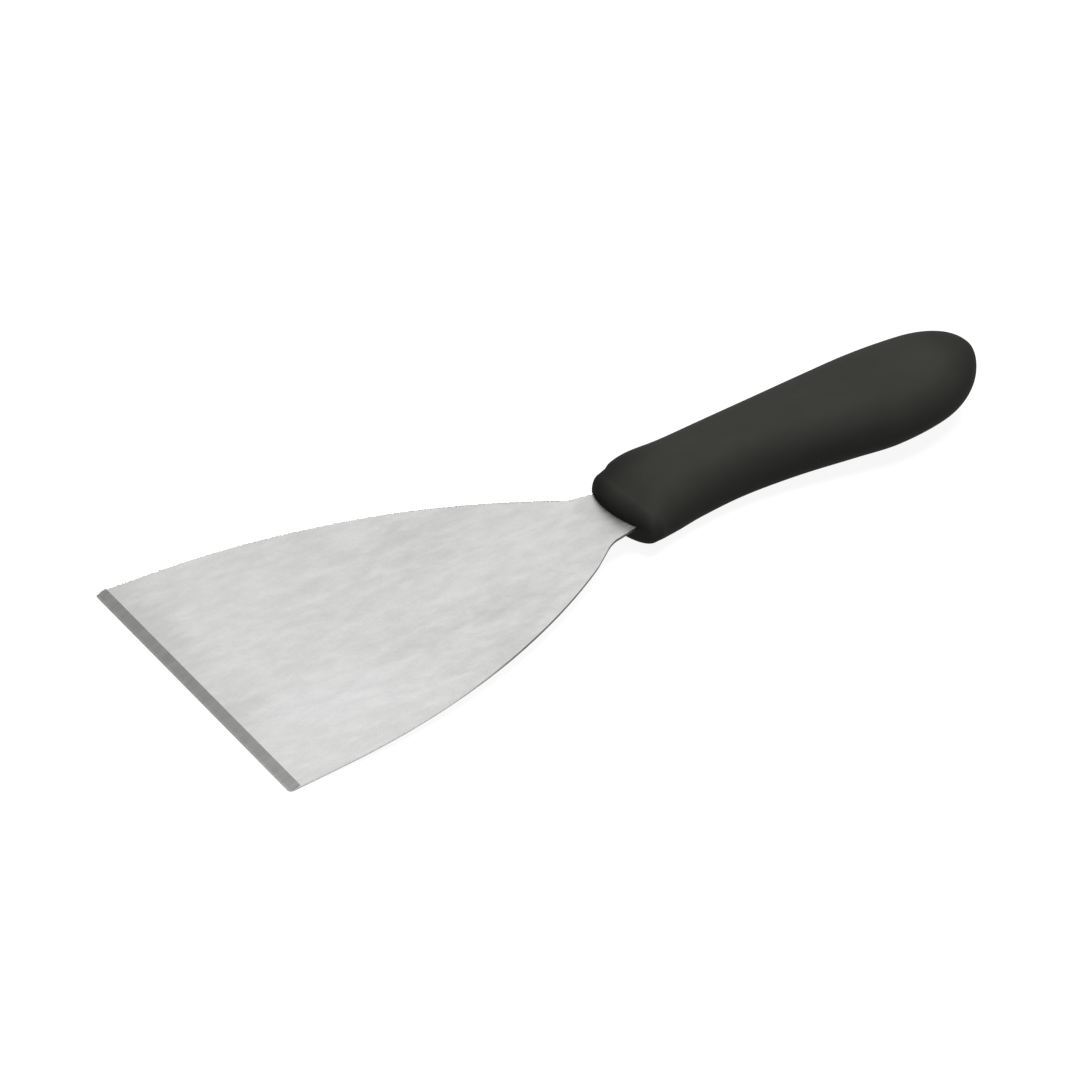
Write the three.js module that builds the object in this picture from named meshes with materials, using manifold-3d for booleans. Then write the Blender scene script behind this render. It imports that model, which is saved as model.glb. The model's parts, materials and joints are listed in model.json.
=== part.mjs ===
// Grill spatula: a flat stamped steel blade with a ground front edge, its tang moulded into a
// two-shot plastic handle shaped like a knife's.
//
// Millimetres. The pieces are drawn in the blade's own frame: +X from the cutting edge to the
// handle, +Y to the spine side of the handle, +Z up, with the blade's top face at z = 0.
// The finished tool is then laid down the way it rests on a table, with the table at z = 0.

import * as THREE from "three";
import { mergeVertices } from "three/addons/utils/BufferGeometryUtils.js";
import Module from "manifold-3d";

// ---- Driving dimensions -------------------------------------------------------------------

// Blade plate
const PLATE_THICKNESS = 1.0;
const EDGE_HALF_WIDTH = 50.8; // a four inch cutting edge
const CORNER_RADIUS = 1.6;
const CORNER_DROP = 0.1; // the corner's curve ends this much inside the full width
const TAPER_END = { x: 20, y: 49.3 }; // the sides run straight from the edge to here
const SIDE_ARC = { x: 4, radius: 184.6, halfWidth: 50.05 }; // widest point of the curved side
const SIDE_ARC_END = 108; // x where the curved side gives way to the shoulder
const SHOULDER_START = { x: 113.6, y: 13.8 };
const SHOULDER = { x: 115.6, y: 12.0 }; // the inside corner that the shoulder rounds off
const SHOULDER_END = { x: 118, y: 11.1 };

// Ground bevel along the cutting edge
const BEVEL_RUN = 3.2;
const EDGE_LAND = 0.15; // steel left at the very edge, so that it can't cut a hand

// Neck and tang
const HANDLE_FRONT = 122.7; // x where the handle's front face crosses the centre line
const NECK_END = { x: 126, y: 9.5 };
const NECK_CENTRE = 0.4; // the neck and tang stand this far to the spine side of the blade
const TANG_SHOULDER = 134; // x where the tang has narrowed to its full-length width
const TANG_HALF_WIDTH = 6.5;
const TANG_END = 204;
const TANG_END_ROUND = 5;
const LOCK_HOLE_RADIUS = 3;
const LOCK_HOLES = [148, 168, 188]; // x of each hole that the core is moulded through

// Handle
const HANDLE_LENGTH = 115.9;
const MID_PLANE = -PLATE_THICKNESS / 2;
const HEEL_CENTRE = 6; // y that the rear end closes on
const HEEL_CLOSING = 17.5; // the heel's thickness rounds off over this distance from its tip

// The front face is bowed in plan: a tighter curve to the spine side, a slow one to the belly.
const BOW_CENTRE = 3;
const BOW_RADIUS_SPINE = 22.5;
const BOW_RADIUS_BELLY = 36;
const BOW_RADIUS_PROFILE = 20; // it is slightly crowned from top to bottom too
const BOW_FADE = 12; // the bow dies away over this distance behind the front
const BOW_FADE_POWER = 1.5;

// Rounding between the front face and the first section: how deep it runs, and how much it takes
// off each half-size.
const LIP = { depth: 3, spine: 2.7, belly: 0.6, top: 4.5, under: 2.3 };

// Cross-sections of the handle: distance behind the front, half-sizes towards the spine, the
// belly, the top and the underside, and how square the oval is (2 is a true ellipse).
const SECTIONS = [
  { back: LIP.depth, spine: 13.4, belly: 13.9, top: 6.3, under: 6.3, square: 3.0 }, // collar
  { back: 6, spine: 14.4, belly: 14.0, top: 7.4, under: 6.7, square: 2.6 },
  { back: 9, spine: 16.2, belly: 13.0, top: 8.3, under: 8.4, square: 2.3 }, // finger guard
  { back: 15, spine: 17.4, belly: 11.4, top: 9.0, under: 9.3, square: 2.2 },
  { back: 24, spine: 16.8, belly: 9.2, top: 9.3, under: 9.3, square: 2.2 },
  { back: 38, spine: 17.7, belly: 7.5, top: 9.3, under: 9.3, square: 2.2 }, // finger hollow
  { back: 54, spine: 18.4, belly: 8.6, top: 9.6, under: 9.6, square: 2.2 },
  { back: 70, spine: 18.8, belly: 11.2, top: 10.3, under: 10.3, square: 2.2 },
  { back: 82.5, spine: 19.1, belly: 13.3, top: 10.6, under: 10.6, square: 2.2 }, // rear swell
];

const HALF_SIZES = ["spine", "belly", "top", "under"];

// Two-shot moulding
const SKIN = 3.5; // wall of the outer shot round the core
const CORE_FRONT = 16; // distance from the handle's front to the core
const GAP = 0.3; // clearance drawn between pieces that touch in the real tool
const SLOT_LEAD = 5; // the tang's slot is drawn from this far in front of the handle

// Waste solids reach this much past the faces they cut, and bars pass right through the blade.
const OVERCUT = 1;
const BAR_HEIGHT = 4 * PLATE_THICKNESS;

// Fineness of the round surfaces
const AROUND = 48;
const STEPS_PER_SECTION = 3;
const HEEL_STEPS = 14;
const LIP_STEPS = 4;
const CURVE_STEPS = 32;
const BAR_SIDES = 24;
const WELD_DISTANCE = 1e-4; // points of a shape this close together are one point

const wasm = await Module();
wasm.setup();

// ---- Helpers ------------------------------------------------------------------------------

// A three.js geometry as a manifold-3d solid, ready to be cut or joined.
function solidOf(geometry) {
  const bare = geometry.clone();
  bare.deleteAttribute("normal");
  bare.deleteAttribute("uv");
  const merged = mergeVertices(bare, WELD_DISTANCE);
  return new wasm.Manifold(
    new wasm.Mesh({
      numProp: 3,
      vertProperties: new Float32Array(merged.attributes.position.array),
      triVerts: new Uint32Array(merged.index.array),
    }),
  );
}

// A finished solid as a named mesh with its material.
function meshOf(name, solid, material) {
  const { vertProperties, triVerts } = solid.getMesh();
  const geometry = new THREE.BufferGeometry();
  geometry.setAttribute("position", new THREE.BufferAttribute(vertProperties, 3));
  geometry.setIndex(new THREE.BufferAttribute(triVerts, 1));
  geometry.computeVertexNormals();
  const mesh = new THREE.Mesh(geometry, material);
  mesh.name = name;
  return mesh;
}

// A flat outline given height from z = bottom to z = top.
function slab(outline, bottom, top) {
  const geometry = new THREE.ExtrudeGeometry(outline, {
    depth: top - bottom,
    bevelEnabled: false,
  });
  return solidOf(geometry.translate(0, 0, bottom));
}

// A whole outline from its two halves, each drawn from the front to the back with y >= 0. The
// second is turned over to the belly side.
function joined(spineHalf, bellyHalf) {
  const bellySide = bellyHalf.getPoints(CURVE_STEPS).map(({ x, y }) => new THREE.Vector2(x, -y));
  return new THREE.Shape([...bellySide.reverse(), ...spineHalf.getPoints(CURVE_STEPS)]);
}

// ---- Blade --------------------------------------------------------------------------------

// Half of the blade as seen from above, from the cutting edge to the end of the tang, with its
// neck and tang moved outwards by `shift`.
function bladeHalfOutline(shift) {
  const arcCentreY = SIDE_ARC.halfWidth - SIDE_ARC.radius;
  const taperAngle = Math.acos((TAPER_END.x - SIDE_ARC.x) / SIDE_ARC.radius);
  const endAngle = Math.acos((SIDE_ARC_END - SIDE_ARC.x) / SIDE_ARC.radius);
  const half = new THREE.Path();
  const cornerEnd = { x: CORNER_RADIUS, y: EDGE_HALF_WIDTH - CORNER_DROP };
  half.moveTo(0, EDGE_HALF_WIDTH - CORNER_RADIUS);
  half.quadraticCurveTo(0, EDGE_HALF_WIDTH, cornerEnd.x, cornerEnd.y);
  half.lineTo(TAPER_END.x, TAPER_END.y);
  half.absarc(SIDE_ARC.x, arcCentreY, SIDE_ARC.radius, taperAngle, endAngle, true);
  half.lineTo(SHOULDER_START.x, SHOULDER_START.y + shift);
  const corner = { x: SHOULDER.x, y: SHOULDER.y + shift };
  half.quadraticCurveTo(corner.x, corner.y, SHOULDER_END.x, SHOULDER_END.y + shift);
  half.lineTo(NECK_END.x, NECK_END.y + shift);
  half.lineTo(TANG_SHOULDER, TANG_HALF_WIDTH + shift);
  half.lineTo(TANG_END - TANG_END_ROUND, TANG_HALF_WIDTH + shift);
  half.lineTo(TANG_END, TANG_HALF_WIDTH - TANG_END_ROUND + shift);
  return half;
}

// The wedge of steel that grinding takes off the top of the cutting edge.
function bevelWaste() {
  const drop = PLATE_THICKNESS - EDGE_LAND;
  const rise = (drop * OVERCUT) / BEVEL_RUN;
  const profile = new THREE.Shape([
    new THREE.Vector2(-OVERCUT, -drop - rise),
    new THREE.Vector2(BEVEL_RUN + OVERCUT, rise),
    new THREE.Vector2(-OVERCUT, rise),
  ]);
  const length = 2 * (EDGE_HALF_WIDTH + OVERCUT);
  const wedge = new THREE.ExtrudeGeometry(profile, { depth: length, bevelEnabled: false });
  wedge.rotateX(Math.PI / 2);
  return solidOf(wedge.translate(0, length / 2, 0));
}

// A round bar standing through the tang at x.
function crossBar(x, radius) {
  const bar = new THREE.CylinderGeometry(radius, radius, BAR_HEIGHT, BAR_SIDES);
  bar.rotateX(Math.PI / 2);
  return solidOf(bar.translate(x, NECK_CENTRE, MID_PLANE));
}

function bladeSolid() {
  const outline = joined(bladeHalfOutline(NECK_CENTRE), bladeHalfOutline(-NECK_CENTRE));
  let blade = slab(outline, -PLATE_THICKNESS, 0);
  blade = blade.subtract(bevelWaste());
  for (const x of LOCK_HOLES) blade = blade.subtract(crossBar(x, LOCK_HOLE_RADIUS));
  return blade;
}

// The space the tang takes up inside the handle, with the drawn clearance all round.
function tangSpace() {
  const start = HANDLE_FRONT - SLOT_LEAD;
  const neckSlope = (SHOULDER_END.y - NECK_END.y) / (NECK_END.x - SHOULDER_END.x);
  const half = new THREE.Path();
  half.moveTo(start, NECK_END.y + neckSlope * (NECK_END.x - start) + GAP);
  half.lineTo(NECK_END.x, NECK_END.y + GAP);
  half.lineTo(TANG_SHOULDER + GAP, TANG_HALF_WIDTH + GAP);
  half.lineTo(TANG_END - TANG_END_ROUND, TANG_HALF_WIDTH + GAP);
  half.lineTo(TANG_END + GAP, TANG_HALF_WIDTH + GAP - TANG_END_ROUND);
  return slab(joined(half, half), -PLATE_THICKNESS - GAP, GAP).translate(0, NECK_CENTRE, 0);
}

// ---- Handle -------------------------------------------------------------------------------

// Every cross-section of the handle with its skin taken off by `inset`, from `front` behind the
// handle's face to the rear. The size curves run on to the second last section mirrored past the
// last one, so that they level off where the heel begins.
function handleSections(inset, front) {
  const [before, last] = SECTIONS.slice(-2);
  const levelled = [...SECTIONS, { ...before, back: 2 * last.back - before.back }];
  const valueAt = (key, share) => {
    const points = levelled.map((s) => new THREE.Vector2(s.back, s[key]));
    return new THREE.SplineCurve(points).getPoint(share).y;
  };
  const sections = [];
  for (let i = 0; i <= (SECTIONS.length - 1) * STEPS_PER_SECTION; i++) {
    const share = i / STEPS_PER_SECTION / (levelled.length - 1);
    const section = { back: valueAt("back", share), square: valueAt("square", share), centre: 0 };
    for (const key of HALF_SIZES) section[key] = valueAt(key, share) - inset;
    if (section.back >= front) sections.push(section);
  }
  if (front > 0) sections[0].back = front;
  return [...sections, ...heelSections(sections[sections.length - 1], inset)];
}

// The rounded rear end. In plan the last full section closes on the heel's tip as two quarter
// ellipses; its thickness keeps up until near the tip and then closes as an ellipse too.
function heelSections(last, inset) {
  const length = HANDLE_LENGTH - inset - last.back;
  const sections = [];
  for (let i = 1; i < HEEL_STEPS; i++) {
    const angle = (i / HEEL_STEPS) * (Math.PI / 2);
    const toTip = length * (1 - Math.sin(angle));
    const offset = HEEL_CENTRE * Math.cos(angle); // y still to go to the tip
    const closing = Math.max(0, 1 - toTip / (HEEL_CLOSING - inset));
    const thickness = Math.sqrt(1 - closing ** 2);
    sections.push({
      back: last.back + length - toTip,
      centre: HEEL_CENTRE - offset,
      spine: (last.spine - HEEL_CENTRE) * Math.cos(angle) + offset,
      belly: (last.belly + HEEL_CENTRE) * Math.cos(angle) - offset,
      top: last.top * thickness,
      under: last.under * thickness,
      square: last.square,
    });
  }
  return sections;
}

// The front face's rounded lip: smaller copies of the first section, closing on the face.
function lipSections(first) {
  const sections = [];
  for (let i = 0; i < LIP_STEPS; i++) {
    const angle = (i / LIP_STEPS) * (Math.PI / 2);
    const section = { ...first, back: LIP.depth * (1 - Math.cos(angle)) };
    for (const key of HALF_SIZES) section[key] -= LIP[key] * (1 - Math.sin(angle));
    sections.push(section);
  }
  return sections;
}

// How far the front face falls back at y and at `rise` over the mid-plane, fading out behind the
// front.
function bow(y, rise, back) {
  const offCentre = y - BOW_CENTRE;
  const radius = offCentre > 0 ? BOW_RADIUS_SPINE : BOW_RADIUS_BELLY;
  const fall = offCentre ** 2 / (2 * radius) + rise ** 2 / (2 * BOW_RADIUS_PROFILE);
  return fall * Math.max(0, 1 - back / BOW_FADE) ** BOW_FADE_POWER;
}

// The points round one section, from the spine over the top to the belly and back underneath.
function ring(section) {
  const points = [];
  const power = 2 / section.square;
  for (let i = 0; i < AROUND; i++) {
    const angle = (i / AROUND) * 2 * Math.PI;
    const across = Math.sign(Math.cos(angle)) * Math.abs(Math.cos(angle)) ** power;
    const up = Math.sign(Math.sin(angle)) * Math.abs(Math.sin(angle)) ** power;
    const y = section.centre + across * (across > 0 ? section.spine : section.belly);
    const rise = up * (up > 0 ? section.top : section.under);
    const x = HANDLE_FRONT + section.back + bow(y, rise, section.back);
    points.push(new THREE.Vector3(x, y, MID_PLANE + rise));
  }
  return points;
}

// A closed skin through the rings of the sections. The front is closed by straight strips from
// top to bottom, and the rear by a fan.
function loft(sections, tip) {
  const points = sections.flatMap(ring);
  const faces = [];
  for (let i = 0; i < AROUND / 2; i++) {
    const below = (AROUND - i) % AROUND;
    faces.push(i, below, i + 1, i + 1, below, AROUND - i - 1);
  }
  const lastRing = (sections.length - 1) * AROUND;
  for (let start = 0; start <= lastRing; start += AROUND) {
    for (let i = 0; i < AROUND; i++) {
      const next = (i + 1) % AROUND;
      if (start === lastRing) {
        faces.push(start + i, start + next, points.length);
      } else {
        faces.push(start + i, start + next, start + AROUND + next);
        faces.push(start + i, start + AROUND + next, start + AROUND + i);
      }
    }
  }
  points.push(tip);
  const geometry = new THREE.BufferGeometry().setFromPoints(points);
  geometry.setIndex(faces);
  return solidOf(geometry);
}

// The whole handle shape with its skin taken off by `inset`, starting `front` behind its face.
function handleShape(inset, front) {
  const sections = handleSections(inset, front);
  const tip = new THREE.Vector3(HANDLE_FRONT + HANDLE_LENGTH - inset, HEEL_CENTRE, MID_PLANE);
  if (front > 0) return loft(sections, tip);
  return loft([...lipSections(sections[0]), ...sections], tip);
}

// First shot: a plain core round the tang, with plastic pegs through the tang's holes.
function coreSolid() {
  let slot = tangSpace();
  for (const x of LOCK_HOLES) slot = slot.subtract(crossBar(x, LOCK_HOLE_RADIUS - GAP));
  return handleShape(SKIN, CORE_FRONT).subtract(slot);
}

// Second shot: the hand-shaped skin, hollow over the core and slotted for the neck.
function gripSolid() {
  const hollow = handleShape(SKIN - GAP, CORE_FRONT - 2 * GAP);
  return handleShape(0, 0).subtract(hollow).subtract(tangSpace());
}

// ---- Materials ----------------------------------------------------------------------------

const steel = new THREE.MeshStandardMaterial({ color: 0xb9bbba, roughness: 0.38, metalness: 1 });
const corePlastic = new THREE.MeshStandardMaterial({ color: 0x3c3c3a, roughness: 0.6 });
const gripPlastic = new THREE.MeshStandardMaterial({ color: 0x1c1c1a, roughness: 0.55 });

// ---- Assembly -----------------------------------------------------------------------------

// The slope the tool lies at: its cutting edge and the lowest point of its handle both touch
// the table, so it is the steepest line from the edge down to any point of the handle.
function restingSlope(handle) {
  const position = handle.geometry.getAttribute("position");
  let slope = 0;
  for (let i = 0; i < position.count; i++) {
    const drop = -PLATE_THICKNESS - position.getZ(i);
    slope = Math.max(slope, Math.atan2(drop, position.getX(i)));
  }
  return slope;
}

const grip = meshOf("handle_grip", gripSolid(), gripPlastic);
const tool = new THREE.Group();
tool.add(meshOf("blade", bladeSolid(), steel));
tool.add(meshOf("handle_core", coreSolid(), corePlastic));
tool.add(grip);
tool.rotation.y = -restingSlope(grip);

// Stand the tool's bounding box on the origin: centred in X and Y, its lowest point at z = 0.
const box = new THREE.Box3().setFromObject(tool, true);
const middle = box.getCenter(new THREE.Vector3());
tool.position.set(-middle.x, -middle.y, -box.min.z);

const spatula = new THREE.Group();
spatula.name = "grill_spatula";
spatula.add(tool);
export default spatula;
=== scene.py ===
import json
import math

import bpy
from mathutils import Euler, Matrix, Vector


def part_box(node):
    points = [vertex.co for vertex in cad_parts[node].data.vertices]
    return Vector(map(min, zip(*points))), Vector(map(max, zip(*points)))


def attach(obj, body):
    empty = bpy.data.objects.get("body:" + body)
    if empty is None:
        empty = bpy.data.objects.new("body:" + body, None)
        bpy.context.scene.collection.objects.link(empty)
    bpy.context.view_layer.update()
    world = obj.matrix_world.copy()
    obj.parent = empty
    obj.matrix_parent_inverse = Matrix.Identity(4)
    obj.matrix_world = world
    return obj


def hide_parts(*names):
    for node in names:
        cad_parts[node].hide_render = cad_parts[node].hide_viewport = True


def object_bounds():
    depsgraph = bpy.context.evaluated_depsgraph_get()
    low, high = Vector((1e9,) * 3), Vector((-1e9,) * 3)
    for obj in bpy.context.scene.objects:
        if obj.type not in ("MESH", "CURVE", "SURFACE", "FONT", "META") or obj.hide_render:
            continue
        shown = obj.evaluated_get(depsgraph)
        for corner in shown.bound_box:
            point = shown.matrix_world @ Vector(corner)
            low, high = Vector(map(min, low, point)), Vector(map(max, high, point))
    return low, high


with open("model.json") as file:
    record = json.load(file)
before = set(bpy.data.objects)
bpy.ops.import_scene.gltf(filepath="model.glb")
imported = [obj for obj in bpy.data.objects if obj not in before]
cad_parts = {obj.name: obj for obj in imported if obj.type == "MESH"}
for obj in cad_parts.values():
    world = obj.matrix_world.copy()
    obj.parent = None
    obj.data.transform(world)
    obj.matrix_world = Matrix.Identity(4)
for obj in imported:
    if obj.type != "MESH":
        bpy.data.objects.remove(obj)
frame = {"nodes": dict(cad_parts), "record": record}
cad_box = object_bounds()

# Grill spatula: a stamped steel blade, its tang moulded into a black plastic handle.
#
# The pieces are drawn in the tool's own frame: +X from the cutting edge to the handle, +Y to the
# spine side of the handle, +Z up, with the blade's top face at z = 0 and the cutting edge at
# x = 0. The tool lies tilted on the table, so each finished mesh is turned into the shared
# frame by the matrix TOOL_TO_FRAME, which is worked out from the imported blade.

MM = 0.001

# ---- Sizes, in millimetres in the tool's own frame -----------------------------------------

PLATE = 1.0  # thickness of the blade
EDGE_HALF_WIDTH = 50.8
CORNER_RADIUS = 1.6
CORNER_DROP = 0.1  # the corner's curve ends this much inside the full width
TAPER_END = (20, 49.3)
SIDE_ARC_X, SIDE_ARC_RADIUS, SIDE_HALF_WIDTH = 4, 184.6, 50.05
SIDE_ARC_END = 108
SHOULDER_START = (113.6, 13.8)
SHOULDER = (115.6, 12.0)
SHOULDER_END = (118, 11.1)
BEVEL_RUN = 3.2
EDGE_LAND = 0.15
BEVEL_BLEND = 0.12  # the ground bevel rolls over into the top face across this distance
SHEAR_ROUND = 0.14  # rounding along the stamped sides
MOST_ROUND = 0.45  # the rounding takes no more than this share of the sheet's thickness

NECK_END = (126, 9.5)
NECK_CENTRE = 0.4  # the neck and tang stand this far to the spine side of the blade
TANG_SHOULDER = 134
TANG_HALF_WIDTH = 6.5
TANG_END = 204
TANG_END_ROUND = 5
LOCK_HOLE_RADIUS = 3
LOCK_HOLES = (148, 168, 188)

HANDLE_FRONT = 122.7
HANDLE_LENGTH = 115.9
HEEL_CENTRE = 6
HEEL_CLOSING = 17.5
BOW_CENTRE = 3
BOW_RADIUS_SPINE = 22.5
BOW_RADIUS_BELLY = 36
BOW_RADIUS_PROFILE = 20  # the front face is slightly crowned from top to bottom too
BOW_FADE = 12
BOW_FADE_POWER = 1.5
SKIN = 3.2  # wall of the grip round the core's cavity
CAVITY_FRONT = 15.4  # distance from the handle's front to that cavity
FIT = 0.04  # gap between the neck and the plastic moulded round it
SLOT_LEAD = 5  # the neck's slot is cut from this far in front of the handle

# Rounding between the front face and the first section: its depth, and what it takes off each
# half-size.
LIP_DEPTH = 3
LIP = {"spine": 2.7, "belly": 0.6, "top": 4.5, "under": 2.3}

# Cross-sections of the handle: distance behind the front, half-sizes towards the spine, the
# belly, the top and the underside, and how square the oval is (2 is a true ellipse).
SECTION_KEYS = ("back", "spine", "belly", "top", "under", "square")
SECTIONS = [
    (LIP_DEPTH, 13.4, 13.9, 6.3, 6.3, 3.0),  # collar
    (6, 14.4, 14.0, 7.4, 6.7, 2.6),
    (9, 16.2, 13.0, 8.3, 8.4, 2.3),  # finger guard
    (15, 17.4, 11.4, 9.0, 9.3, 2.2),
    (24, 16.8, 9.2, 9.3, 9.3, 2.2),
    (38, 17.7, 7.5, 9.3, 9.3, 2.2),  # finger hollow
    (54, 18.4, 8.6, 9.6, 9.6, 2.2),
    (70, 18.8, 11.2, 10.3, 10.3, 2.2),
    (82.5, 19.1, 13.3, 10.6, 10.6, 2.2),  # rear swell
]

# Fineness of the round surfaces
AROUND = 160
STEPS_PER_SECTION = 12
HEEL_STEPS = 48
LIP_STEPS = 8
CURVE_STEPS = 48
ROUND_STEPS = 4
BLEND_STEPS = 3
HOLE_SIDES = 48
SHARP_ANGLE = math.radians(32)  # edges turning more than this are shaded as creases

# Which way a face of the blade points, by the upward part of its normal
FACES_UP = 0.5  # more than this
FACES_ASIDE = 0.6  # less than this, up or down

# ---- Place of the tool in the shared frame --------------------------------------------------

blade_low, blade_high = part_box("blade")
blade_up = Vector(frame["record"]["mounts"][0]["axis"])  # square to the blade's top face
TILT = math.atan2(-blade_up.x, blade_up.z)
# The lowest corner of the edge's land touches the table, and its upper corner reaches furthest.
TOOL_ORIGIN = Vector((
    blade_low.x - (PLATE - EDGE_LAND) * MM * math.sin(TILT),
    (blade_low.y + blade_high.y) / 2,
    blade_low.z + PLATE * MM * math.cos(TILT),
))
TOOL_TO_FRAME = Matrix.Translation(TOOL_ORIGIN) @ Matrix.Rotation(-TILT, 4, "Y")
FRAME_TO_TOOL = TOOL_TO_FRAME.inverted()

# ---- Shader helpers -------------------------------------------------------------------------


class Shader:
    """A material's nodes. Each method adds one step and returns the socket it ends in."""

    def __init__(self, name, **surface):
        self.material = bpy.data.materials.new(name)
        self.material.use_nodes = True
        self.nodes = self.material.node_tree.nodes
        self.links = self.material.node_tree.links
        self.surface = self.nodes["Principled BSDF"]
        for socket, value in surface.items():
            self.set(socket.replace("_", " "), value)

    def feed(self, socket, value):
        if isinstance(value, bpy.types.NodeSocket):
            self.links.new(value, socket)
        else:
            socket.default_value = value

    def set(self, socket, value):
        """Gives one of the surface's own sockets a plain value or a linked one."""
        self.feed(self.surface.inputs[socket], value)

    def tool_place(self):
        """Millimetres in the tool's own frame."""
        mapping = self.nodes.new("ShaderNodeMapping")
        self.feed(mapping.inputs["Vector"], self.nodes.new("ShaderNodeTexCoord").outputs["Object"])
        mapping.inputs["Scale"].default_value = Vector((1, 1, 1)) / MM
        mapping.inputs["Rotation"].default_value = FRAME_TO_TOOL.to_euler()
        mapping.inputs["Location"].default_value = FRAME_TO_TOOL.translation / MM
        return mapping.outputs[0]

    def shifted(self, place, offset):
        node = self.nodes.new("ShaderNodeVectorMath")
        node.operation = "SUBTRACT"
        self.feed(node.inputs[0], place)
        node.inputs[1].default_value = offset
        return node.outputs[0]

    def scaled(self, place, size):
        """place in units of size, a size in mm along each axis."""
        node = self.nodes.new("ShaderNodeVectorMath")
        node.operation = "DIVIDE"
        self.feed(node.inputs[0], place)
        node.inputs[1].default_value = size
        return node.outputs[0]

    def noise(self, place, size, detail=2.0, rough=0.5, warp=0.0, seed=0.0):
        """Smooth noise, about 0.3 to 0.7, with lumps of about size mm along each axis."""
        node = self.nodes.new("ShaderNodeTexNoise")
        node.noise_dimensions = "4D"
        self.feed(node.inputs["Vector"], self.scaled(place, size))
        node.inputs["W"].default_value = seed
        node.inputs["Scale"].default_value = 1
        node.inputs["Detail"].default_value = detail
        node.inputs["Roughness"].default_value = rough
        node.inputs["Distortion"].default_value = warp
        return node.outputs[0]

    def cells(self, place, size):
        """(distance to the nearest scattered point, that point's own random colour)"""
        node = self.nodes.new("ShaderNodeTexVoronoi")
        node.inputs["Scale"].default_value = 1
        self.feed(node.inputs["Vector"], self.scaled(place, size))
        return node.outputs["Distance"], node.outputs["Color"]

    def range(self, value, low, high, to_low=0.0, to_high=1.0):
        """value taken smoothly from low..high to to_low..to_high, and held outside it."""
        node = self.nodes.new("ShaderNodeMapRange")
        node.interpolation_type = "SMOOTHSTEP"
        self.feed(node.inputs["Value"], value)
        node.inputs["From Min"].default_value = low
        node.inputs["From Max"].default_value = high
        node.inputs["To Min"].default_value = to_low
        node.inputs["To Max"].default_value = to_high
        return node.outputs[0]

    def maths(self, operation, first, second):
        node = self.nodes.new("ShaderNodeMath")
        node.operation = operation
        self.feed(node.inputs[0], first)
        self.feed(node.inputs[1], second)
        return node.outputs[0]

    def total(self, *terms):
        """The sum of (socket, factor) terms."""
        result = 0.0
        for socket, factor in terms:
            result = self.maths("ADD", self.maths("MULTIPLY", socket, factor), result)
        return result

    def length(self, vector):
        node = self.nodes.new("ShaderNodeVectorMath")
        node.operation = "LENGTH"
        self.feed(node.inputs[0], vector)
        return node.outputs["Value"]

    def axis(self, vector, name):
        node = self.nodes.new("ShaderNodeSeparateXYZ")
        self.feed(node.inputs[0], vector)
        return node.outputs[name]

    def colour(self, share, first, second):
        """first where share is 0, second where it is 1."""
        node = self.nodes.new("ShaderNodeMix")
        node.data_type = "RGBA"
        self.feed(node.inputs["Factor"], share)
        for socket, value in ((node.inputs[6], first), (node.inputs[7], second)):
            self.feed(socket, (*value, 1) if isinstance(value, tuple) else value)
        return node.outputs[2]

    def bump(self, height, depth, under=None):
        """A normal for a height that runs from 0 to 1 over depth mm."""
        node = self.nodes.new("ShaderNodeBump")
        node.inputs["Distance"].default_value = depth * MM
        self.feed(node.inputs["Height"], height)
        if under is not None:
            self.feed(node.inputs["Normal"], under)
        return node.outputs[0]


# ---- Materials ------------------------------------------------------------------------------

STEEL_BRIGHT = (0.615, 0.619, 0.615)
STEEL_DULL = (0.482, 0.482, 0.472)
# The bevel's colours are painted shade: darker than the face's for the dark surround that the
# bevel mirrors.
BEVEL_SHADED_BRIGHT = (0.315, 0.315, 0.311)
BEVEL_SHADED_DULL = (0.197, 0.197, 0.195)
SHEAR_DARK = (0.10, 0.10, 0.098)
SHEAR_BRIGHT = (0.60, 0.60, 0.59)
GRIP_BLACK = (0.0153, 0.0153, 0.0137)
GRIP_SOFT_BLACK = (0.0177, 0.0177, 0.0163)
DUST = (0.09, 0.09, 0.085)
CORE_DARK = (0.040, 0.040, 0.038)
CORE_PALE = (0.062, 0.062, 0.058)
FLOOR_DULL = (0.075, 0.075, 0.075)
FLOOR_BRIGHT = (0.085, 0.085, 0.085)

# Clouds in the mill finish, and painted shade on the neck in front of the handle: x, y, length and
# width in mm, and how much brighter (+) or duller.
CLOUDS_AND_PAINTED_SHADE = [
    (24, -26, 26, 15, 0.22),  # the brightest stretch, behind the near half of the edge
    (12, -42, 22, 9, 0.06),
    (26, 27, 22, 8, 0.10),
    (20, 6, 16, 12, 0.10),
    (103, 2, 16, 8, 0.10),
    (2, 34, 9, 26, -0.34),  # dull corner by the bevel
    (5, -14, 8, 8, -0.28),
    (78, 23, 20, 7, -0.20),
    (74, 12, 12, 6, -0.10),
    (82, -18, 13, 7, -0.24),
    (58, -17, 14, 7, -0.14),
    (72, -33, 16, 7, -0.16),
    # painted shade: the handle's dark reflection on the neck
    (113, -1, 9, 12, -0.16),
    (121, 0, 5, 12, -0.45),  # a painted shadow in front of the handle's lip
]
CLOUD_AND_SHADE_DEPTH = 40  # each patch's size in mm along Z, the same for all

# Painted shading that the light alone doesn't give: x, y, length and width in mm, and the share
# of the grip's tone that is lost.
DARKENED = [
    (128, 15, 16, 12, 0.45),  # the guard's far corner
    (126, 0, 12, 16, 0.12),
    (238, 6, 16, 20, 0.32),  # the heel
]
DARKENED_DEPTH = 30  # such a patch's size in mm along Z


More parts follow.
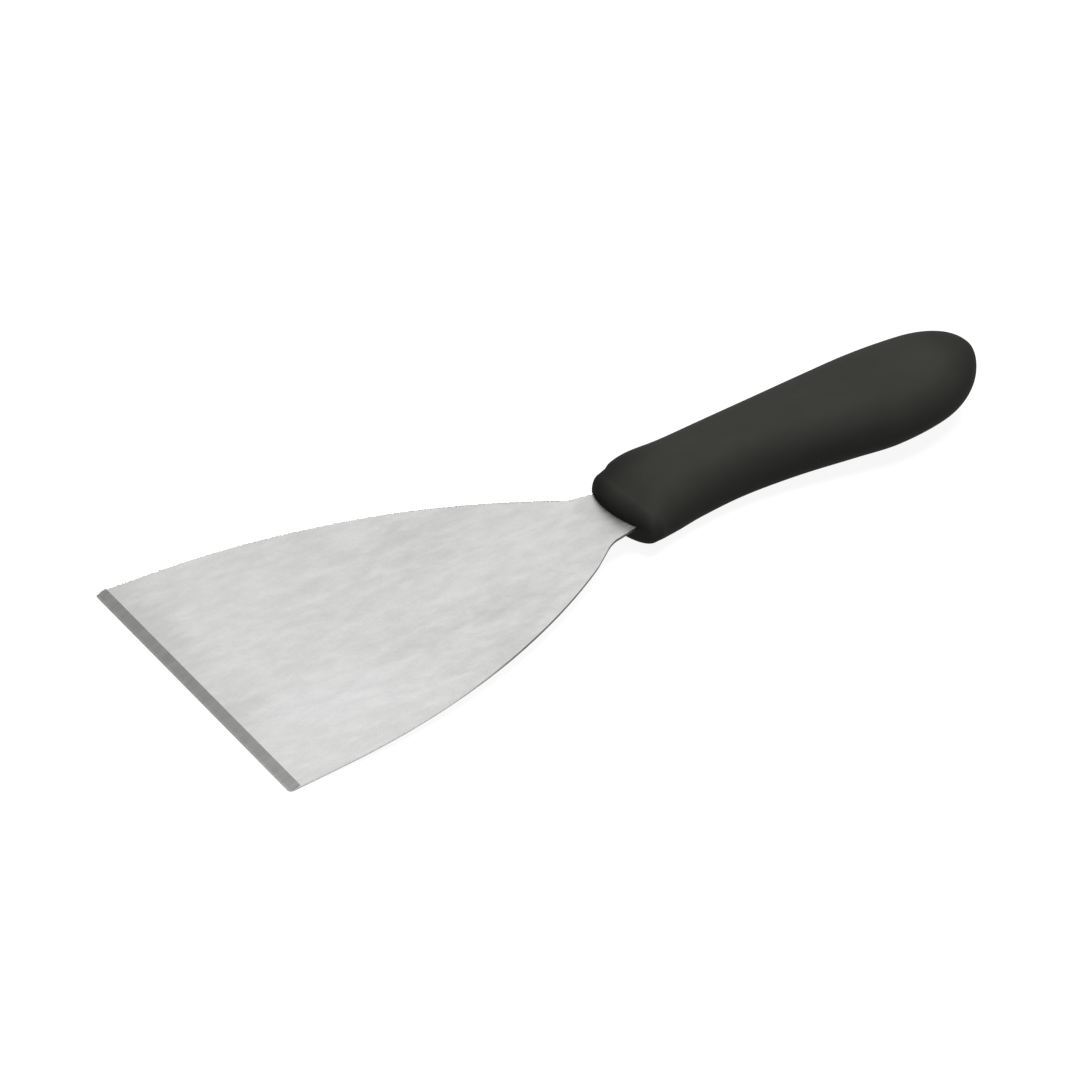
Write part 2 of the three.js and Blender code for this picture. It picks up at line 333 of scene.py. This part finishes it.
def steel_face():
    """Mill-finished stainless sheet: a ragged mottle drawn out along the rolling direction, and
    painted shade on the neck in front of the handle.
    """
    s = Shader("steel_face", Metallic=1.0)
    place = s.tool_place()
    drift = s.noise(place, (38, 20, 30), detail=2, rough=0.5, warp=0.4, seed=2)
    mottle = s.noise(place, (10, 4.2, 10), detail=8, rough=0.70, warp=0.25, seed=5)
    ripples = s.noise(place, (3.2, 0.9, 3), detail=5, rough=0.66, warp=0.5, seed=9)
    grain = s.noise(place, (0.45, 0.3, 0.45), detail=2, rough=0.6, seed=7)
    tone = s.total((drift, 0.15), (mottle, 0.42), (ripples, 0.20), (grain, 0.65))
    tone = s.maths("SUBTRACT", tone, 0.21)
    # The patches at x 113 and 121 are painted shade in front of the handle; the rest are clouds in
    # the finish.
    for x, y, length, width, gain in CLOUDS_AND_PAINTED_SHADE:
        near = s.scaled(s.shifted(place, (x, y, 0)), (length, width, CLOUD_AND_SHADE_DEPTH))
        ragged = s.total((s.length(near), 1.0), (mottle, 1.6), (ripples, 0.5))
        tone = s.maths("ADD", tone, s.range(ragged, 1.0, 2.6, gain, 0.0))
    s.set("Base Color", s.colour(s.range(tone, 0.0, 1.0), STEEL_DULL, STEEL_BRIGHT))
    s.set("Roughness", s.range(mottle, 0.3, 0.7, 0.33, 0.41))
    s.set("Normal", s.bump(s.total((ripples, 0.6), (grain, 0.4)), 0.0020))
    return s.material


def ground_bevel():
    """The cutting edge's bevel, ground across with a coarse belt; its colour is darker than the
    face's as painted shade for the dark surround that it mirrors.
    """
    s = Shader("ground_bevel", Metallic=1.0)
    place = s.tool_place()
    scratches = s.noise(place, (6, 0.13, 2), detail=3, rough=0.65, seed=3)
    bands = s.noise(place, (8, 3.5, 8), detail=3, rough=0.6, seed=8)
    grain = s.noise(place, (0.16, 0.16, 0.16), detail=1, seed=1)
    near_end = s.range(s.axis(place, "Y"), -50, 10, 0.25, 0.0)
    tone = s.total((scratches, 0.6), (bands, 0.6), (grain, 0.45), (near_end, 1.0))
    s.set("Base Color", s.colour(s.range(tone, 0.35, 1.45), BEVEL_SHADED_DULL, BEVEL_SHADED_BRIGHT))
    s.set("Roughness", s.range(scratches, 0.3, 0.7, 0.38, 0.52))
    s.set("Normal", s.bump(s.total((scratches, 0.8), (grain, 0.2)), 0.006))
    return s.material


def sheared_edge():
    """The stamped sides of the sheet: a burnished band above a rough torn one, and a painted
    reflection that is bright towards the cutting edge.
    """
    s = Shader("sheared_edge", Metallic=1.0)
    place = s.tool_place()
    tears = s.noise(place, (0.35, 0.35, 1.6), detail=3, rough=0.6, seed=6)
    torn = s.range(s.total((s.axis(place, "Z"), 1.0), (tears, 0.25)), -0.62, -0.42, 1.0, 0.0)
    painted_reflection = s.range(s.axis(place, "X"), 42, 85, 0.5, 0.0)  # painted reflection: bright towards the cutting edge, darker towards the neck
    tone = s.total((tears, 0.5), (torn, -0.2), (painted_reflection, 1.0))
    s.set("Base Color", s.colour(s.range(tone, 0.1, 0.8), SHEAR_DARK, SHEAR_BRIGHT))
    s.set("Roughness", s.range(torn, 0.0, 1.0, 0.30, 0.55))
    s.set("Normal", s.bump(s.maths("MULTIPLY", tears, torn), 0.03))
    return s.material


def grip_plastic():
    """Black polypropylene with the fine satin of an etched mould, a little dusty."""
    s = Shader("grip_plastic", Specular_IOR_Level=0.01)
    place = s.tool_place()
    etch = s.noise(place, (0.22, 0.22, 0.22), detail=2, rough=0.6, seed=1)
    cloud = s.noise(place, (16, 9, 9), detail=3, rough=0.55, warp=0.3, seed=4)
    rub = s.noise(place, (7, 1.2, 1.2), detail=3, rough=0.6, seed=8)
    black = s.colour(s.range(s.total((cloud, 0.8), (etch, 0.3)), 0.35, 0.75),
                     GRIP_BLACK, GRIP_SOFT_BLACK)
    for x, y, length, width, loss in DARKENED:
        size = (length, width, DARKENED_DEPTH)
        near = s.length(s.scaled(s.shifted(place, (x, y, 0)), size))
        black = s.colour(s.range(near, 0.3, 1.3, loss, 0.0), black, (0, 0, 0))
    distance, kind = s.cells(place, (5.5, 5.5, 5.5))
    speck = s.maths("MULTIPLY", s.range(distance, 0.016, 0.034, 1.0, 0.0),
                    s.range(s.axis(kind, "X"), 0.55, 0.85))
    s.set("Base Color", s.colour(speck, black, DUST))
    s.set("Roughness", s.total((s.range(cloud, 0.3, 0.7, 0.52, 0.60), 1.0), (rub, 0.06)))
    waves = s.bump(s.noise(place, (22, 14, 14), detail=1, seed=6), 0.05)
    s.set("Normal", s.bump(etch, 0.010, waves))
    return s.material


def core_plastic():
    """The handle's first shot: plain dark plastic, dull from the mould, with faint flow lines."""
    s = Shader("core_plastic", Specular_IOR_Level=0.4)
    place = s.tool_place()
    flow = s.noise(place, (18, 2.5, 2.5), detail=4, rough=0.6, warp=0.8, seed=2)
    grain = s.noise(place, (0.4, 0.4, 0.4), detail=2, seed=5)
    s.set("Base Color", s.colour(s.range(flow, 0.3, 0.7), CORE_DARK, CORE_PALE))
    s.set("Roughness", s.range(flow, 0.3, 0.7, 0.55, 0.68))
    s.set("Normal", s.bump(grain, 0.02))
    return s.material


def floor_panel():
    """A white light table: pale matt plastic lit from below, which leaves only faint shadows."""
    s = Shader("floor_panel", Roughness=0.9, Specular_IOR_Level=0.0, Emission_Strength=FLOOR_GLOW)
    s.set("Emission Color", (1, 1, 1, 1))
    tooth = s.noise(s.tool_place(), (0.8, 0.8, 0.8), detail=3, seed=3)
    s.set("Base Color", s.colour(tooth, FLOOR_DULL, FLOOR_BRIGHT))
    return s.material


# ---- Mesh helpers ---------------------------------------------------------------------------


def piece_of(name, points, faces, materials, face_material=None):
    """A mesh object from points in mm in the tool's frame, put into the shared frame."""
    mesh = bpy.data.meshes.new(name)
    mesh.from_pydata([Vector(p) * MM for p in points], [], faces)
    mesh.transform(TOOL_TO_FRAME)
    mesh.validate()
    for material in materials:
        mesh.materials.append(material)
    if face_material:
        for index, polygon in enumerate(mesh.polygons):
            polygon.material_index = face_material[index]
    obj = bpy.data.objects.new(name, mesh)
    bpy.context.scene.collection.objects.link(obj)
    return obj


def applied(obj):
    """Replaces obj's mesh by what its modifiers make of it."""
    graph = bpy.context.evaluated_depsgraph_get()
    mesh = bpy.data.meshes.new_from_object(obj.evaluated_get(graph))
    obj.modifiers.clear()
    obj.data = mesh


def cut(obj, tool):
    """Takes tool's solid out of obj, and deletes the tool."""
    boolean = obj.modifiers.new("cut", "BOOLEAN")
    boolean.operation = "DIFFERENCE"
    boolean.solver = "EXACT"
    boolean.object = tool
    applied(obj)
    bpy.data.objects.remove(tool)


def smooth(obj):
    obj.data.shade_smooth()
    obj.data.set_sharp_from_angle(angle=SHARP_ANGLE)


def quadratic(start, control, end):
    """Points along a quadratic curve, without its first."""
    points = []
    for i in range(1, CURVE_STEPS + 1):
        t = i / CURVE_STEPS
        weights = ((1 - t) ** 2, 2 * t * (1 - t), t ** 2)
        points.append(tuple(
            sum(w * p[axis] for w, p in zip(weights, (start, control, end))) for axis in (0, 1)
        ))
    return points


def rings_to_faces(rings, around):
    """Quads between each ring of points and the next."""
    faces = []
    for ring in range(rings - 1):
        for i in range(around):
            j = (i + 1) % around
            here, there = ring * around, (ring + 1) * around
            faces.append((here + i, here + j, there + j, there + i))
    return faces


# ---- Blade ----------------------------------------------------------------------------------


def blade_outline():
    """Half of the blade seen from above: (x, half width) from the edge to the tang's end."""
    corner = (0, EDGE_HALF_WIDTH - CORNER_RADIUS)
    corner_end = (CORNER_RADIUS, EDGE_HALF_WIDTH - CORNER_DROP)
    centre_y = SIDE_HALF_WIDTH - SIDE_ARC_RADIUS
    first = math.acos((TAPER_END[0] - SIDE_ARC_X) / SIDE_ARC_RADIUS)
    last = math.acos((SIDE_ARC_END - SIDE_ARC_X) / SIDE_ARC_RADIUS)
    outline = [corner, *quadratic(corner, (0, EDGE_HALF_WIDTH), corner_end)]
    for i in range(2 * CURVE_STEPS + 1):
        angle = first + (last - first) * i / (2 * CURVE_STEPS)
        outline.append((
            SIDE_ARC_X + SIDE_ARC_RADIUS * math.cos(angle),
            centre_y + SIDE_ARC_RADIUS * math.sin(angle),
        ))
    outline += [SHOULDER_START, *quadratic(SHOULDER_START, SHOULDER, SHOULDER_END)]
    outline += [NECK_END, (TANG_SHOULDER, TANG_HALF_WIDTH)]
    outline += [(TANG_END - TANG_END_ROUND, TANG_HALF_WIDTH)]
    return outline + [(TANG_END, TANG_HALF_WIDTH - TANG_END_ROUND)]


def half_width(outline, x):
    """The outline's half width at x, along its straight stretches."""
    for (x0, w0), (x1, w1) in zip(outline, outline[1:]):
        if x0 < x <= x1:
            return w0 + (w1 - w0) * (x - x0) / (x1 - x0)
    return outline[0][1]


def centre_line(x):
    """y of the blade's middle at x: it steps to the spine side along the shoulder."""
    share = (x - SIDE_ARC_END) / (SHOULDER_START[0] - SIDE_ARC_END)
    return NECK_CENTRE * min(max(share, 0.0), 1.0)


def top_height(x):
    """Height of the top face: level, and ground down towards the cutting edge."""
    drop = PLATE - EDGE_LAND
    slope = drop / BEVEL_RUN
    into = x - (BEVEL_RUN - BEVEL_BLEND)
    if into <= 0:
        return -slope * (BEVEL_RUN - x)
    if into < 2 * BEVEL_BLEND:  # a parabola that meets both flats without a crease
        return -slope * (2 * BEVEL_BLEND - into) ** 2 / (4 * BEVEL_BLEND)
    return 0.0


def blade_ring(x, width):
    """One cross-section of the sheet at x, with its long edges rounded. +Y side first."""
    top, bottom = top_height(x), -PLATE
    radius = min(SHEAR_ROUND, (top - bottom) * MOST_ROUND)
    points = []
    for side, level, start in ((1, top, 90), (-1, top, 180), (-1, bottom, 270), (1, bottom, 0)):
        inward = radius if level == bottom else -radius
        for i in range(ROUND_STEPS + 1):
            angle = math.radians(start + 90 * i / ROUND_STEPS)
            y = centre_line(x) + side * (width - radius) + radius * math.cos(angle)
            points.append((x, y, level + inward + radius * math.sin(angle)))
    return points


def make_blade():
    outline = blade_outline()
    steps = range(-BLEND_STEPS, BLEND_STEPS + 1)
    bevel_stations = {BEVEL_RUN + BEVEL_BLEND * i / BLEND_STEPS for i in steps}
    stations = sorted({x for x, _ in outline} | bevel_stations)
    points = []
    for x in stations:
        points += blade_ring(x, half_width(outline, x))
    around = 4 * (ROUND_STEPS + 1)
    faces = rings_to_faces(len(stations), around)
    faces.append(tuple(range(around))[::-1])
    faces.append(tuple(range(len(points) - around, len(points))))

    blade = piece_of(
        "blade_steel", points, faces, [steel_face(), ground_bevel(), sheared_edge()]
    )
    for x in LOCK_HOLES:
        cut(blade, lock_bar(x))
    paint_blade(blade)
    smooth(blade)
    return blade


def lock_bar(x):
    """A round bar through the tang at x, to cut one of its holes."""
    points = []
    for z in (-2 * PLATE, PLATE):
        for i in range(HOLE_SIDES):
            angle = 2 * math.pi * i / HOLE_SIDES
            y = NECK_CENTRE + LOCK_HOLE_RADIUS * math.sin(angle)
            points.append((x + LOCK_HOLE_RADIUS * math.cos(angle), y, z))
    faces = rings_to_faces(2, HOLE_SIDES)
    faces.append(tuple(range(HOLE_SIDES))[::-1])
    faces.append(tuple(range(HOLE_SIDES, 2 * HOLE_SIDES)))
    return piece_of("lock_bar", points, faces, [])


def paint_blade(blade):
    """Gives the bevel and the sheared sides their own materials, by which way they face."""
    bevel_lean = math.atan2(PLATE - EDGE_LAND, BEVEL_RUN) / 2  # half of the bevel's own slope
    for polygon in blade.data.polygons:
        centre = FRAME_TO_TOOL @ polygon.center / MM
        normal = FRAME_TO_TOOL.to_3x3() @ polygon.normal
        on_bevel = centre.x < BEVEL_RUN + BEVEL_BLEND / 2
        if on_bevel and normal.z > FACES_UP and normal.x < -bevel_lean:
            polygon.material_index = 1
        elif abs(normal.z) < FACES_ASIDE:
            polygon.material_index = 2


# ---- Handle ---------------------------------------------------------------------------------


def catmull_rom(values, share):
    """Value at share (0 to 1) of the way along a smooth curve through all the values."""
    last = len(values) - 1
    place = share * last
    index = min(int(place), last - 1)
    t = place - index
    before, here = values[max(index - 1, 0)], values[index]
    there, after = values[index + 1], values[min(index + 2, last)]
    leave, arrive = (there - before) / 2, (after - here) / 2
    return (
        (2 * here - 2 * there + leave + arrive) * t ** 3
        + (-3 * here + 3 * there - 2 * leave - arrive) * t ** 2
        + leave * t
        + here
    )


def handle_sections(inset=0.0, front=0.0):
    """Every cross-section, with the skin taken off by inset, from front to rear.

    The size curves run on to the second last section mirrored past the last one, so that they
    level off where the heel begins.
    """
    before, last = SECTIONS[-2:]
    levelled = SECTIONS + [(2 * last[0] - before[0], *before[1:])]
    sections = []
    for i in range((len(SECTIONS) - 1) * STEPS_PER_SECTION + 1):
        share = i / STEPS_PER_SECTION / (len(levelled) - 1)
        section = {
            key: catmull_rom([row[column] for row in levelled], share)
            for column, key in enumerate(SECTION_KEYS)
        }
        for key in LIP:
            section[key] -= inset
        if section["back"] >= front:
            sections.append({**section, "centre": 0.0})
    if front > 0:
        sections[0]["back"] = front
    return sections + heel_sections(sections[-1], inset)


def heel_sections(last, inset):
    """The rounded rear end: in plan two quarter ellipses that meet at the heel's tip.

    The thickness keeps up until near the tip and then closes as an ellipse too.
    """
    length = HANDLE_LENGTH - inset - last["back"]
    sections = []
    for i in range(1, HEEL_STEPS):
        angle = i / HEEL_STEPS * math.pi / 2
        to_tip = length * (1 - math.sin(angle))
        offset = HEEL_CENTRE * math.cos(angle)  # y still to go to the tip
        closing = max(0.0, 1 - to_tip / (HEEL_CLOSING - inset))
        thickness = math.sqrt(1 - closing ** 2)
        sections.append({
            "back": last["back"] + length - to_tip,
            "centre": HEEL_CENTRE - offset,
            "spine": (last["spine"] - HEEL_CENTRE) * math.cos(angle) + offset,
            "belly": (last["belly"] + HEEL_CENTRE) * math.cos(angle) - offset,
            "top": last["top"] * thickness,
            "under": last["under"] * thickness,
            "square": last["square"],
        })
    return sections


def lip_sections(first):
    """The front face's rounded lip: smaller copies of the first section, closing on the face."""
    sections = []
    for i in range(LIP_STEPS):
        angle = i / LIP_STEPS * math.pi / 2
        section = {key: first[key] - trim * (1 - math.sin(angle)) for key, trim in LIP.items()}
        sections.append({**first, **section, "back": LIP_DEPTH * (1 - math.cos(angle))})
    return sections


def bow(y, rise, back):
    """How far the front face falls back at y and rise, fading out behind the front."""
    off_centre = y - BOW_CENTRE
    radius = BOW_RADIUS_SPINE if off_centre > 0 else BOW_RADIUS_BELLY
    fall = off_centre ** 2 / (2 * radius) + rise ** 2 / (2 * BOW_RADIUS_PROFILE)
    return fall * max(0.0, 1 - back / BOW_FADE) ** BOW_FADE_POWER


def handle_ring(section):
    """Points round one section: a superellipse, evenly spaced by angle."""
    points = []
    for i in range(AROUND):
        angle = 2 * math.pi * i / AROUND
        across, up = math.cos(angle), math.sin(angle)
        square = section["square"]
        reach = (abs(across) ** square + abs(up) ** square) ** (-1 / square)
        y = section["centre"] + across * reach * section["spine" if across > 0 else "belly"]
        rise = up * reach * section["top" if up > 0 else "under"]
        x = HANDLE_FRONT + section["back"] + bow(y, rise, section["back"])
        points.append((x, y, rise - PLATE / 2))
    return points


def handle_solid(name, inset, front, materials):
    """The handle's whole shape, less inset all over and front off its front end."""
    sections = handle_sections(inset, front)
    if front == 0:
        sections = lip_sections(sections[0]) + sections
    points = [point for section in sections for point in handle_ring(section)]
    faces = rings_to_faces(len(sections), AROUND)
    for i in range(AROUND // 2):  # the front, closed by strips from top to bottom
        below = (AROUND - i) % AROUND
        faces.append((i, below, AROUND - i - 1, i + 1))
    tip = len(points)
    points.append((HANDLE_FRONT + HANDLE_LENGTH - inset, HEEL_CENTRE, -PLATE / 2))
    for i in range(AROUND):
        faces.append((tip - AROUND + i, tip - AROUND + (i + 1) % AROUND, tip))
    return piece_of(name, points, faces, materials)


def tang_space():
    """The room the tang takes up in the handle, from just in front of it."""
    start = HANDLE_FRONT - SLOT_LEAD
    neck_slope = (SHOULDER_END[1] - NECK_END[1]) / (NECK_END[0] - SHOULDER_END[0])
    half = [
        (start, NECK_END[1] + neck_slope * (NECK_END[0] - start) + FIT),
        (NECK_END[0], NECK_END[1] + FIT),
        (TANG_SHOULDER, TANG_HALF_WIDTH + FIT),
        (TANG_END + FIT, TANG_HALF_WIDTH + FIT),
    ]
    outline = [(x, NECK_CENTRE + y) for x, y in half]
    outline += [(x, NECK_CENTRE - y) for x, y in reversed(half)]
    count = len(outline)
    points = [(x, y, z) for z in (FIT, -PLATE - FIT) for x, y in outline]
    faces = rings_to_faces(2, count)
    faces.append(tuple(range(count))[::-1])
    faces.append(tuple(range(count, 2 * count)))
    return piece_of("tang_space", points, faces, [])


def make_grip():
    grip = handle_solid("grip_moulding", 0.0, 0.0, [grip_plastic()])
    cut(grip, handle_solid("cavity", SKIN, CAVITY_FRONT, []))
    cut(grip, tang_space())
    smooth(grip)
    return grip


# ---- Stage ----------------------------------------------------------------------------------

VIEW_AZIMUTH = math.radians(-30.53)
VIEW_ELEVATION = math.radians(33.36)
VIEW_ROLL = math.radians(-1.49)
VIEW_DISTANCE = 1.364
VIEW_LENS, VIEW_SENSOR = 182.54, 36
VIEW_AIM = Vector((-0.02484, -0.01042, 0.0051))  # from the middle of the object's box

FLOOR_HALF_SIZE = 4.0
FLOOR_GLOW = 0.92
# The surround is brightest in the direction that the level blade mirrors to the camera.
SKY_DIRECTION = (0.351, 0.719, 0.600)
SKY_DIM, SKY_BRIGHT = 0.18, 1.0
SKY_SPREAD = (0.70, 0.96)  # cosines of the angles from that direction where it is dim and bright

KEY_DIRECTION = Vector((0.08, -0.19, 0.97)).normalized()  # nearly overhead
KEY_DISTANCE = 1.6
KEY_SIZE = 1.0
KEY_POWER = 67.0


def make_camera():
    """The photograph's viewpoint. The lens is a long one, so the view is nearly parallel."""
    data = bpy.data.cameras.new("camera")
    data.sensor_width = VIEW_SENSOR
    data.lens = VIEW_LENS
    camera = bpy.data.objects.new("camera", data)
    bpy.context.scene.collection.objects.link(camera)
    level = math.cos(VIEW_ELEVATION)
    back = Vector((
        math.sin(VIEW_AZIMUTH) * level, -math.cos(VIEW_AZIMUTH) * level, math.sin(VIEW_ELEVATION)
    ))
    aim = (cad_box[0] + cad_box[1]) / 2 + VIEW_AIM
    camera.location = aim + back * VIEW_DISTANCE
    upright = (-back).to_track_quat("-Z", "Y")
    roll = Euler((0, 0, VIEW_ROLL)).to_quaternion()
    camera.rotation_mode = "QUATERNION"
    camera.rotation_quaternion = upright @ roll
    bpy.context.scene.camera = camera


def make_floor():
    half = FLOOR_HALF_SIZE
    mesh = bpy.data.meshes.new("floor")
    corners = [(-half, -half, 0), (half, -half, 0), (half, half, 0), (-half, half, 0)]
    mesh.from_pydata(corners, [], [(0, 1, 2, 3)])
    mesh.materials.append(floor_panel())
    floor = bpy.data.objects.new("floor", mesh)
    bpy.context.scene.collection.objects.link(floor)


def make_lights():
    """A studio whose surround is bright on one side, with a large soft disc nearly overhead."""
    world = bpy.data.worlds.new("studio")
    bpy.context.scene.world = world
    world.use_nodes = True
    nodes, links = world.node_tree.nodes, world.node_tree.links
    toward = nodes.new("ShaderNodeVectorMath")
    toward.operation = "DOT_PRODUCT"
    toward.inputs[1].default_value = SKY_DIRECTION
    strength = nodes.new("ShaderNodeMapRange")
    strength.interpolation_type = "SMOOTHSTEP"
    strength.inputs["From Min"].default_value = SKY_SPREAD[0]
    strength.inputs["From Max"].default_value = SKY_SPREAD[1]
    strength.inputs["To Min"].default_value = SKY_DIM
    strength.inputs["To Max"].default_value = SKY_BRIGHT
    background = nodes["Background"]
    background.inputs["Color"].default_value = (1, 1, 1, 1)
    links.new(nodes.new("ShaderNodeTexCoord").outputs["Generated"], toward.inputs[0])
    links.new(toward.outputs["Value"], strength.inputs["Value"])
    links.new(strength.outputs[0], background.inputs["Strength"])

    light = bpy.data.lights.new("soft_box", "AREA")
    light.shape = "DISK"
    light.size = KEY_SIZE
    light.energy = KEY_POWER
    box = bpy.data.objects.new("soft_box", light)
    box.location = KEY_DIRECTION * KEY_DISTANCE
    box.rotation_mode = "QUATERNION"
    box.rotation_quaternion = KEY_DIRECTION.to_track_quat("Z", "Y")
    bpy.context.scene.collection.objects.link(box)
    bpy.context.scene.view_settings.view_transform = "Standard"


# ---- Assembly -------------------------------------------------------------------------------

make_camera()
make_floor()
make_lights()

blade = make_blade()
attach(blade, "root")
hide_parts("blade")

grip = make_grip()
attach(grip, "root")
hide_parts("handle_grip")

core = frame["nodes"]["handle_core"]
core.data.materials.clear()
core.data.materials.append(core_plastic())
